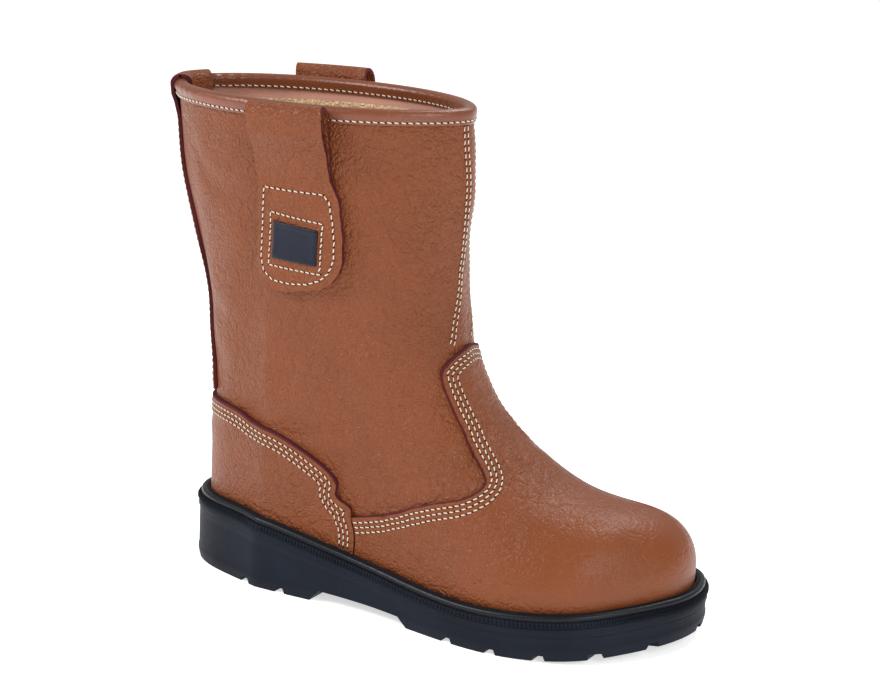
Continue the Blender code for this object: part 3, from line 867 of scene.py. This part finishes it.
def make_materials():
    """The materials, kept by name."""
    MATERIALS["leather"] = shade(
        "leather", TAN, 0.42, 0.28, 0.00034, 0.0023, 0.00048, coat=0.05, spread=0.05, smooth_toe=True
    )
    MATERIALS["binding"] = shade(
        "binding", (0.170, 0.044, 0.016), 0.30, 0.4, 0.00007, 0.0016, coat=0.20, spread=0.08
    )
    MATERIALS["facing"] = shade("facing", (0.42, 0.20, 0.14), 0.6, 0.3, 0.0001, 0.0016, spread=0.1)
    MATERIALS["raw"] = shade("raw", (0.085, 0.012, 0.016), 0.8, 0.2, 0.00015, 0.0009, spread=0.3)
    MATERIALS["thread"] = shade("thread", (0.70, 0.61, 0.49), 0.7)
    # Painted shade: near-black ovals at the stitches stand in for the shade inside their holes
    MATERIALS["hole"] = shade("hole", (0.02, 0.008, 0.006), 0.9, 0.1)
    MATERIALS["rubber"] = shade(
        "rubber", (0.0066, 0.0092, 0.0160), 0.55, 0.12, 0.00006, 0.0011, spread=0.25
    )
    MATERIALS["bead"] = shade(
        "bead", (0.0045, 0.0055, 0.0080), 0.36, 0.25, 0.00003, 0.0016, spread=0.15
    )
    MATERIALS["badge"] = shade("badge", (0.006, 0.009, 0.020), 0.38, 0.25, 0.00006, 0.0008)
    MATERIALS["fleece"] = shade(
        "fleece", (0.74, 0.50, 0.27), 0.95, 0.1, 0.0012, 0.0024, sheen=0.5, spread=0.25
    )
    MATERIALS["board"] = shade("board", (0.30, 0.20, 0.11), 0.9, 0.2, 0.0002, 0.0012, spread=0.15)


def make_upper_skin():
    """The leather of foot and shaft: its outer face, and the rim over to the inside."""
    turns = 520
    rows = 230
    degrees, up = np.meshgrid(np.linspace(-180, 180, turns, endpoint=False), np.linspace(0, 1, rows))
    outer = with_skirt(face(degrees, up))
    top_inside = face(degrees[-1:], up[-1:], -upper_wall)
    points = np.concatenate([outer, top_inside])
    place_piece(
        "upper_skin",
        points,
        grid_faces(len(points), turns, ring=True),
        [MATERIALS["leather"]],
        ["upper"],
        angle=60,
    )


def make_lining():
    """The fleece inside, and the leather facing under the collar."""
    turns = 300
    rows = 170
    degrees, up = np.meshgrid(np.linspace(-180, 180, turns, endpoint=False), np.linspace(1, 0, rows))
    turn = np.radians(degrees)
    fuzz = np.sin(53 * turn + 61 * up) * np.sin(37 * turn - 190 * up)
    fuzz = fuzz + np.sin(97 * turn) * np.sin(233 * up + 5 * turn)
    facing = up > 1 - (inner_leg + facing_below) / shaft_height
    point, normal, _ = skin_at(degrees, up)
    out = -upper_wall - np.where(facing, clearance, fleece_depth + fleece_fuzz * fuzz)
    points = point + normal * out[..., None]
    which = facing[:-1].astype(int)
    low = points[-1:].copy()
    low[..., 2] = feather_height(low[..., 0]) - lasting_margin
    points = np.concatenate([points, low])
    which = np.concatenate([which, which[-1:] * 0])
    faces = grid_faces(len(points), turns, ring=True)
    place_piece(
        "lining",
        points,
        faces,
        [MATERIALS["fleece"], MATERIALS["facing"]],
        [],
        which.ravel(),
        80,
    )


def sweep_ring(name, profile, turns, material, nodes, wobble=0.0):
    """A ring of a closed profile of standoff and rise round the collar."""
    degrees = np.linspace(-180, 180, turns, endpoint=False)
    point, normal, upward = skin_at(degrees, 1.0)
    turn = np.radians(degrees)
    wave = wobble * (np.sin(23 * turn) * np.sin(41 * turn + 1) + 0.6 * np.sin(61 * turn + 2))
    back = np.clip((np.abs(degrees) - 110) / 50, 0, 1) + 0.3
    sections = []
    for off, rise in profile:
        shift = (wave * back * np.sign(off)) * (abs(off) > 0.002)
        sections.append(point + normal * (off + shift)[:, None] + upward * rise)
    points = np.stack(sections, 1)
    return place_piece(name, points, torus_faces(*points.shape[:2]), [material], nodes, angle=70)


def make_collar():
    """The binding: its outer leg, its rolled edge and its inner leg, swept round the collar."""
    out = clearance
    thick = binding_thickness
    back = -upper_wall - clearance
    low = -binding_leg
    middle = (out + back) / 2
    reach_out = out + thick + bead_bulge - middle
    arc = [
        (middle + reach_out * np.cos(t), -0.0008 + (bead_rise + 0.0008) * np.sin(t))
        for t in np.radians(np.arange(0, 181, 12))
    ]
    profile = [
        (out, low),
        (out + thick * 0.6, low),
        (out + thick, low + 0.0005),
        (out + thick, -0.0052),
        (out + thick + 0.0002, -0.004),
    ]
    profile += [(middle + reach_out, -0.0022)] + arc
    inner = 2 * middle - out - thick
    profile += [(inner - 0.0002, -0.003), (inner, -0.004), (inner, -inner_leg)]
    profile += [(back, -inner_leg), (back, 0.0), (out, 0.0)]
    sweep_ring(
        "collar_roll",
        profile,
        540,
        MATERIALS["binding"],
        ["collar_binding"],
        wobble=0.00022,
    )


def strip_paths():
    """Level, standoff and rise along the back strip's outer face, over the rim to its inner end."""
    up, half = columns(back_strip_table)
    over = 3 * clearance + binding_thickness + bead_bulge
    under = -upper_wall - over
    thick = strip_thickness
    levels = list(np.linspace(up[0], 1 - (binding_leg + 0.006) / shaft_height, 60))
    path = [(level, clearance + thick, 0.0) for level in levels]
    leg = 1 - binding_leg / shaft_height
    path += [
        (leg, clearance + binding_thickness + thick, 0.0),
        (1 - 0.004 / shaft_height, over + thick * 0.9, 0.0),
    ]
    middle = (over + under) / 2
    reach = over + thick - middle
    rise = bead_rise + 2 * clearance + thick * 0.9
    for turn in np.radians(np.arange(0, 181, 15)):
        path.append((1.0, middle + reach * np.cos(turn), rise * np.sin(turn)))
    path += [(1 - 0.004 / shaft_height, under - thick * 0.9, 0.0), (leg, under - thick * 0.6, 0.0)]
    path += [
        (1 - 0.016 / shaft_height, under - thick * 0.4, 0.0),
        (1 - strip_end * binding_leg / shaft_height, under - thick * 0.4, 0.0),
    ]
    return path, up, half


def make_strip_skin():
    """The back strip with raw edges. Returns its rows of stitches."""
    path, up, half = strip_paths()
    levels = np.array([p[0] for p in path])
    offs = np.array([p[1] for p in path])
    rises = np.array([p[2] for p in path])
    share = np.linspace(-1, 1, 41)
    degrees = 180 + share * np.interp(levels, up, half)[:, None]
    level_grid = np.broadcast_to(levels[:, None], degrees.shape)
    out = np.repeat(offs[:, None], len(share), 1)
    top = face(degrees, level_grid, out, np.repeat(rises[:, None], len(share), 1))
    under_off = out - np.sign(out) * strip_thickness * 0.97
    under_rise = rises - np.where(rises > 0, strip_thickness * 0.9, 0)
    under_rise = np.repeat(under_rise[:, None], len(share), 1)
    low = face(degrees, level_grid, under_off, np.maximum(under_rise, 0))
    points = np.concatenate([low[:, :1], top, low[:, -1:]], axis=1)
    ends = [0, *range(len(share)), -1]
    points = np.concatenate([low[:1][:, ends], points, low[-1:][:, ends]])
    rows, count = points.shape[:2]
    which = np.zeros((rows - 1, count - 1), int)
    which[:, 0] = which[:, -1] = which[0] = which[-1] = 1
    cut_leather("strip_skin", points, grid_faces(rows, count), "back_strip", which)
    edge_levels = np.linspace(up[0] + 0.012, 0.965, 120)
    rows_out = []
    for side in (-1, 1):
        for gap in strip_seam:
            edge = 180 + side * np.interp(edge_levels, up, half)
            d, u = inset(edge, edge_levels, gap * side)
            rows_out.append(stitch_row(d, u, clearance + strip_thickness + thread_lift))
    return rows_out


def make_loop_skin(name, side, turn, rise, node):
    """A pull loop with raw edges; the two layers part above its sewn end."""
    up, rear, front, opening = columns(loop_table)
    fold = 1 + rise / shaft_height
    rest = 2 * clearance + binding_thickness + bead_bulge
    t = loop_thickness
    rows = 46
    index = np.arange(len(up), dtype=float)
    at = np.linspace(0, len(up) - 1, rows)
    up_fine = np.interp(at, index, up)
    order = np.argsort(up_fine)
    up_fine = up_fine[order]
    rear_fine = np.interp(up_fine, up, rear)
    front_fine = np.interp(up_fine, up, front)
    wide = np.interp(up_fine, up, opening) * loop_opening
    lean_start = 1 - lean_ends[0] * binding_leg / shaft_height
    lean_run = 1.8 * binding_leg / shaft_height
    blend = np.clip((up_fine - lean_start) / lean_run, 0, 1)
    blend = blend * blend * (3 - 2 * blend)
    lean = 1.5 * clearance + (rest - 1.5 * clearance) * blend
    radius = t + wide[-1] / 2
    middle = (fold - 1) * shaft_height - radius
    bend = np.radians(np.arange(180, -1, -10))
    top_off = rest + radius

    def layer(near, far, reach):
        """Up the back of a face of the strap, over its fold and down the front."""
        path = [(lean[i] + near, up_fine[i], 0.0, i) for i in range(rows)]
        path += [(top_off + reach * np.cos(b), 1.0, middle + reach * np.sin(b), rows - 1) for b in bend]
        return path + [(lean[i] + far + wide[i], up_fine[i], 0.0, i) for i in range(rows - 1, -1, -1)]

    outer = layer(0.0, 2 * t, radius)
    inner = layer(t, t, wide[-1] / 2)
    spans = 26
    grids = []
    for path in (outer, inner):
        offs, levels, rises, idx = (np.array(column) for column in zip(*path))
        idx = idx.astype(int)
        share = np.linspace(0, 1, spans + 1)
        degrees = rear_fine[idx][:, None] + (front_fine - rear_fine)[idx][:, None] * share + turn
        shape = degrees.shape
        grids.append(
            face(
                side * degrees,
                np.broadcast_to(levels[:, None], shape),
                np.broadcast_to(offs[:, None], shape),
                np.broadcast_to(rises[:, None], shape),
            )
        )
    count = len(outer)
    one = grid_faces(count, spans + 1)
    two = grid_faces(count, spans + 1, start=count * (spans + 1))
    first = np.arange(count * (spans + 1)).reshape(count, -1)
    second = first + count * (spans + 1)
    walls = []
    for end in (0, spans):
        walls.append(np.stack([first[:-1, end], first[1:, end], second[1:, end], second[:-1, end]], -1))
    walls.append(np.stack([first[0, :-1], first[0, 1:], first[-1, 1:], first[-1, :-1]], -1))
    walls = np.concatenate(walls)
    faces = np.concatenate([one, two, walls])
    which = np.concatenate([np.zeros(len(one) + len(two), int), np.ones(len(walls), int)])
    cut_leather(name, np.concatenate([grid.reshape(-1, 3) for grid in grids]), faces, node, which)
    return [stitch_row(*loop_seam(turn, side), 1.5 * clearance + 2 * t + thread_lift, low=0)]


# The seam round a loop's sewn end: share up and degrees round, from its top rear corner
seam_table = (
    (0.873, 104.0),
    (0.862, 79.5),
    (0.850, 77.0),
    (0.820, 75.2),
    (0.785, 73.8),
    (0.752, 73.4),
    (0.728, 75.0),
    (0.716, 78.5),
    (0.711, 84.0),
    (0.714, 91.5),
    (0.722, 99.0),
    (0.738, 103.4),
    (0.760, 104.6),
    (0.800, 104.8),
    (0.850, 104.4),
    (0.873, 104.0),
)


def loop_seam(turn, side):
    """The line of the seam round the sewn end of a loop."""
    levels, degrees = columns(seam_table)
    run = np.arange(len(levels), dtype=float)
    at = np.linspace(0, len(levels) - 1, 200)
    return side * (np.interp(at, run, degrees) + turn), np.interp(at, run, levels)


def make_badge_skin():
    """The plain badge with a raised rim. Returns the seam round it."""
    low, high, front, rear = badge_place
    count = 24
    share = np.linspace(0, 1, count + 1)
    degrees = -rear + (rear - front) * share
    degrees, up = np.meshgrid(degrees, np.linspace(low, high, count + 1))
    up = up + badge_slope * (1 - 2 * share)
    edge = np.minimum.reduce([share, 1 - share])
    near = np.minimum(edge[None, :], edge[:, None])
    under = 2.5 * clearance + 2 * loop_thickness
    relief_at = np.interp(near, [0, 0.04, 0.08, 0.10, 1], [0.55, 1.0, 1.0, 0.72, 0.72])
    rise = under + badge_thickness * relief_at
    top = face(degrees, up, rise)
    rim = face(degrees, up, under - edge_sink)
    points = np.concatenate([top.reshape(-1, 3), rim.reshape(-1, 3)])
    n = count + 1
    faces = list(grid_faces(n, n))
    at = np.arange(n * n).reshape(n, n)
    loop = np.concatenate([at[0], at[1:, -1], at[-1, -2::-1], at[-2:0:-1, 0]])
    nxt = np.roll(loop, -1)
    faces += [[a, b, b + n * n, a + n * n] for a, b in zip(loop, nxt)]
    place_piece("badge_skin", points, faces, [MATERIALS["badge"]], ["badge"], angle=50)
    # One seam round the badge
    corners = (
        (rear + 1.6, low - 0.013),
        (front - 1.6, low - 0.013),
        (front - 1.6, high + 0.013),
        (rear + 1.6, high + 0.013),
        (rear + 1.6, low - 0.013),
    )
    ds, us = zip(*corners)
    at = np.linspace(0, 4, 200)
    d = -np.interp(at, range(5), ds)
    middle = (rear + front) / 2
    u = np.interp(at, range(5), us) + badge_slope * (-d - middle) / (rear - front) * 2
    return [stitch_row(d, u, under - clearance + thread_lift, pitch=0.0031, low=0)]


def make_welt_skin():
    """The lip, the round bead, its groove, and the row of fine ribs on the rim."""
    turns = 1760
    degrees = np.linspace(-180, 180, turns, endpoint=False)
    leather = clearance + counter_thickness
    middle = welt_lip[-1][0] + welt_bead
    bend = np.radians(np.arange(150, -31, -15))
    bead = zip(middle + welt_bead * np.cos(bend), welt_bead * np.sin(bend) - bead_drop)
    profile = [
        (0.0003, -lasting_margin, 0),
        (0.0003, 0.0006, 0),
        (0.0006, 0.0011, 0),
        (0.0011, 0.0010, 0),
        (0.0014, 0.0002, 0),
    ]
    bead = [(off, rise, 0) for off, rise in bead]
    profile += bead
    profile += [
        (0.0052, -0.0026, 0),
        (0.0055, -0.0021, 0),
        (0.0058, -0.0021, 1),
        (0.0067, -0.0026, 1),
        (0.0072, -0.0034, 1),
        (0.0072, -0.0046, 1),
    ]
    profile += [(0.0064, -0.0050, 0), (0.0064, -lasting_margin, 0)]
    rings = []
    ribs = np.where(np.arange(turns) % 4 < 2, 1.0, 0.0)
    for off, rise, ribbed in profile:
        if ribbed:
            rings.append(outline_ribbed(degrees, leather + off, rise, ribs))
        else:
            rings.append(outline_points(degrees, leather + off, rise))
    points = np.stack(rings, 1)
    faces = torus_faces(*points.shape[:2])
    which = np.zeros((turns, len(profile)), int)
    which[:, 4 : 5 + len(bead)] = 1
    place_piece(
        "welt_skin",
        points,
        faces,
        [MATERIALS["rubber"], MATERIALS["bead"]],
        ["welt"],
        which.ravel(),
        50,
    )


def outline_ribbed(degrees, standoff, height, ribs):
    """A ring round the sole that steps in by the knurl's depth wherever ribs is 1."""
    outer = outline_points(degrees, standoff, height)
    inner = outline_points(degrees, standoff - knurl_depth, height)
    share = ribs[:, None]
    return outer * (1 - share) + inner * share


def make_sole_skin():
    """The moulded sole with its side's steps, cut by the same grooves as the solid."""
    turns = 360
    degrees = np.linspace(0, 360, turns, endpoint=False)
    leather = clearance + counter_thickness
    rings = []
    lines = ((0.90, 0.84), (0.875, 0.81), (0.90, 0.78))
    lines = [(wide, share, line_top * share + line_foot * (1 - share)) for wide, share in lines]
    table = [*side_table[:4], *lines, *side_table[4:]]
    for share, height, lift in table[::-1]:
        ring = outline_points(degrees, leather + share * sole_overhang, -lasting_margin - clearance)
        ring[:, 2] = height * ring[:, 2] + (1 - height) * tread_height(ring[:, 0]) + lift
        rings.append(ring)
    rings = np.stack(rings)
    count = turns
    at = np.arange(rings.shape[0] * count).reshape(-1, count)
    at = np.column_stack([at, at[:, 0]])
    faces = []
    for low, high in zip(at[:-1], at[1:]):
        faces += strip_faces(low, high)
    half = count // 2
    for ring in (at[0], at[-1]):
        faces += strip_faces(ring[: half + 1], ring[: half - 1 : -1])
    sole = place_piece(
        "sole_skin",
        rings.reshape(-1, 3),
        faces,
        [MATERIALS["rubber"]],
        ["outsole"],
        angle=35,
    )
    for cutter in sole_cutters():
        modifier = sole.modifiers.new(cutter.name, "BOOLEAN")
        modifier.operation = "DIFFERENCE"
        modifier.object = cutter
        modifier.solver = "EXACT"
        graph = bpy.context.evaluated_depsgraph_get()
        cut_mesh = bpy.data.meshes.new_from_object(sole.evaluated_get(graph))
        sole.modifiers.clear()
        sole.data = cut_mesh
        bpy.data.objects.remove(cutter, do_unlink=True)
    sole.data.shade_smooth()
    sole.data.set_sharp_from_angle(angle=np.radians(35))


def loose_bars(name, sections):
    """Cutters joined in one mesh, each through a row of four-sided sections."""
    points = []
    faces = []
    for rows in sections:
        start = len(points)
        points += [corner for row in rows for corner in row]
        at = np.arange(start, start + 4 * len(rows)).reshape(-1, 4)
        closed = np.column_stack([at, at[:, 0]])
        for first, second in zip(closed[:-1], closed[1:]):
            faces += strip_faces(first, second)
        faces += [tuple(at[0]), tuple(at[-1])]
    cutter = bpy.data.objects.new(name, make_mesh(name, points, faces))
    bpy.context.scene.collection.objects.link(cutter)
    return cutter


def groove_section(middle, top):
    """Four corners of a groove across its length: position and height."""
    low = -tread_depth
    narrow = groove_width / 2
    wide = narrow + groove_flare * (top - low) / tread_depth
    return ((middle - wide, low), (middle + wide, low), (middle + narrow, top), (middle - narrow, top))


def sole_cutters():
    """The cutters of the arch, the cross grooves and the lengthways grooves."""
    reach = ball_width
    breast = place(heel_breast)
    forefoot = place(forefoot_start)
    arch = (
        (breast - breast_slope, -arch_rise),
        (forefoot + breast_slope, -arch_rise),
        (forefoot - breast_slope, 0.8 * arch_rise),
        (breast + breast_slope, arch_rise),
    )
    yield loose_bars("arch_cutter", [[[(x, y, z) for x, z in arch] for y in (-reach, reach)]])
    across = []
    for share in heel_grooves + forefoot_grooves:
        x = place(share)
        corners = groove_section(x, tread_height(x) + tread_depth)
        across.append([[(px, y, pz) for px, pz in corners] for y in (-reach, reach)])
    yield loose_bars("cross_cutter", across)
    lengthways = []
    for side in (-1, 1):
        rows = []
        for x in place(np.linspace(-0.1, 1.1, 25)):
            corners = groove_section(side * groove_spread * ball_width, tread_height(x) + tread_depth)
            rows.append([(x, py, pz) for py, pz in corners])
        lengthways.append(rows)
    yield loose_bars("long_cutter", lengthways)


def strip_faces(first, second):
    """Quads between two rows of point numbers."""
    pairs = zip(first[:-1], first[1:], second[1:], second[:-1])
    return [tuple(pair) for pair in pairs]


def mirrored(table, back_to_front):
    """A half table and its mirror as one run of columns round the boot."""
    other = [(-foot, -edge, top) for foot, edge, top in table]
    if back_to_front:
        other = [(360 + foot, 360 + edge, top) for foot, edge, top in other]
        return list(table) + other[-2::-1]
    return other[:0:-1] + list(table)


# Front seam's two rows: share up, degrees round of the near and the far row
front_seam_table = (
    (0.975, -2.5, 20.0),
    (0.775, -0.5, 21.0),
    (0.718, 0.0, 22.0),
    (0.667, -3.0, 22.5),
    (0.625, -8.0, 22.3),
    (0.580, -14.5, 16.0),
    (0.562, -17.5, 12.0),
)


def make_all_stitches(strip_rows, loop_rows):
    """Every row of stitches, as one mesh for each seam."""
    lines = seam_lines(vamp_table, False, vamp_seam, False)
    rows = [stitch_row(d, u, clearance + vamp_thickness + thread_lift) for d, u in lines]
    make_stitches("vamp_stitches", rows)
    lines = seam_lines(counter_table, True, counter_seam, True)
    rows = [stitch_row(d, u, clearance + counter_thickness + thread_lift) for d, u in lines]
    make_stitches("counter_stitches", rows)
    rows = list(strip_rows)
    level, near, far = columns(front_seam_table)
    levels = np.linspace(level[-1], level[0], 120)
    for row in (near, far):
        base = np.interp(levels, level[::-1], row[::-1])
        for gap in front_seam:
            d, u = inset(base, levels, gap)
            rows.append(stitch_row(d, u, thread_lift))
    make_stitches("shaft_stitches", rows)
    make_stitches("loop_stitches", loop_rows)
    turn = np.linspace(-180, 180, 500)
    rim = []
    off = clearance + binding_thickness + thread_lift
    for standoff, drop in ((off, outer_drop), (-upper_wall - off, inner_drop)):
        point, normal, upward = skin_at(turn, 1.0)
        line = point + normal * standoff - upward * drop
        places, along, out = space_out(line, normal, collar_pitch)
        rim.append((places, along, out * np.sign(standoff)))
    make_stitches("collar_stitches", rim)


def make_stage():
    """The floor, the even light of the world, the lamps and the camera at the photo's view."""
    scene = bpy.context.scene
    mesh = bpy.data.meshes.new("floor")
    reach = 40
    corners = [(-reach, -reach, 0), (reach, -reach, 0), (reach, reach, 0), (-reach, reach, 0)]
    mesh.from_pydata(corners, [], [(0, 1, 2, 3)])
    floor = bpy.data.objects.new("floor", mesh)
    scene.collection.objects.link(floor)
    pale = bpy.data.materials.new("floor_paint")
    pale.use_nodes = True
    paint = pale.node_tree.nodes["Principled BSDF"].inputs
    paint["Base Color"].default_value = (0.88, 0.88, 0.88, 1)
    paint["Roughness"].default_value = 0.9
    paint["Emission Color"].default_value = (1, 1, 1, 1)
    paint["Emission Strength"].default_value = 0.6
    mesh.materials.append(pale)
    world = bpy.data.worlds.new("studio")
    world.use_nodes = True
    world.node_tree.nodes["Background"].inputs["Color"].default_value = (1, 1, 1, 1)
    world.node_tree.nodes["Background"].inputs["Strength"].default_value = 0.45
    scene.world = world
    for name, place_at, size, power in lamp_table:
        lamp = bpy.data.lights.new(name, "AREA")
        lamp.size = size
        lamp.energy = power
        light = bpy.data.objects.new(name, lamp)
        scene.collection.objects.link(light)
        light.location = place_at
        aim = Vector((0.09, 0, 0.12)) - Vector(place_at)
        light.rotation_euler = aim.to_track_quat("-Z", "Y").to_euler()
    camera = bpy.data.cameras.new("camera")
    camera.lens = view_lens
    camera.sensor_width = 36
    eye = bpy.data.objects.new("camera", camera)
    scene.collection.objects.link(eye)
    azimuth, elevation, roll = np.radians(view_angles)
    level = np.cos(elevation)
    back = np.array([np.sin(azimuth) * level, -np.cos(azimuth) * level, np.sin(elevation)])
    right = np.array([np.cos(azimuth), np.sin(azimuth), 0])
    above = np.cross(back, right)
    across = right * np.cos(roll) + above * np.sin(roll)
    tall = above * np.cos(roll) - right * np.sin(roll)
    at = np.array(view_target) + back * view_distance
    axes = np.stack([across, tall, back], 1).tolist()
    eye.matrix_world = Matrix([[*row, spot] for row, spot in zip(axes, at)] + [[0, 0, 0, 1]])
    scene.camera = eye
    scene.view_settings.view_transform = "Standard"


def main():
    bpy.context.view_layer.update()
    make_materials()
    make_upper_skin()
    make_lining()
    panel("vamp_skin", vamp_table, vamp_thickness, False, "vamp", 420, 70)
    panel("counter_skin", counter_table, counter_thickness, True, "counter", 300, 60)
    make_collar()
    strip_rows = make_strip_skin()
    loop_rows = make_loop_skin("loop_skin_outer", -1, 0.0, lateral_loop_rise, "pull_loop_lateral")
    loop_rows += make_loop_skin(
        "loop_skin_inner", 1, medial_loop_turn, medial_loop_rise, "pull_loop_medial"
    )
    loop_rows += make_badge_skin()
    make_welt_skin()
    make_sole_skin()
    make_all_stitches(strip_rows, loop_rows)
    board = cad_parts["insole"]
    board.data.materials.clear()
    board.data.materials.append(MATERIALS["board"])
    make_stage()


main()
